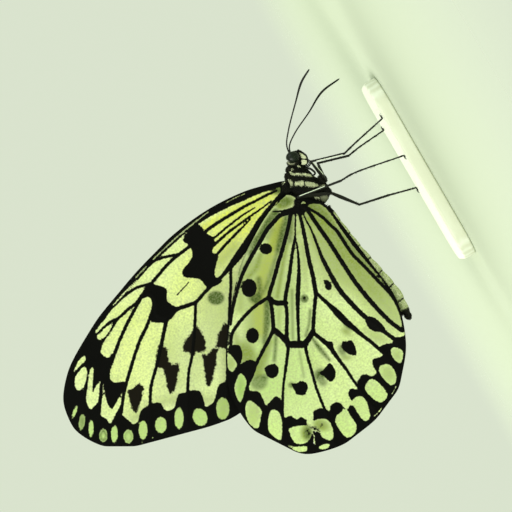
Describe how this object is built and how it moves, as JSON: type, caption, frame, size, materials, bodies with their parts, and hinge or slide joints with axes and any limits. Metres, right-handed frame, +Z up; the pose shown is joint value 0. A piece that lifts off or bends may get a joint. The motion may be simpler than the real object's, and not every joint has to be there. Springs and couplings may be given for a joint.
{
  "type": "large tree nymph butterfly, wings closed, on a display base",
  "caption": "Life-size white tree nymph butterfly with black veins and spots, wings closed over its back, standing on a small flat display base.",
  "frame": {"origin": "centre of the display base's underside", "axes": "+X towards the insect's head, +Y to its left, +Z up"},
  "size_m": [0.0747, 0.032, 0.0954],
  "materials": {
    "wing_membrane": "translucent scaled membrane, pale yellow-green with black veins and spots",
    "thorax_coat": "short black hair and scales with cream patches",
    "abdomen_coat": "matte grey-green scales with dark rings",
    "chitin": "satin black chitin with fine hairs",
    "eye": "glossy faceted dark green-black",
    "base_wood": "whitewashed wood, satin"
  },
  "bodies": {
    "root": {"thorax": "thorax_coat", "abdomen": "abdomen_coat", "head": "thorax_coat", "proboscis": "chitin", "eye_right": "eye", "eye_left": "eye", "palp_right": "thorax_coat", "palp_left": "thorax_coat", "antenna_right": "chitin", "antenna_left": "chitin", "leg_fore_right": "chitin", "leg_fore_left": "chitin", "leg_mid_right": "chitin", "leg_mid_left": "chitin", "leg_hind_right": "chitin", "leg_hind_left": "chitin", "forewing_right": "wing_membrane", "forewing_left": "wing_membrane", "hindwing_right": "wing_membrane", "hindwing_left": "wing_membrane", "stand_base": "base_wood"}
  },
  "joints": []
}
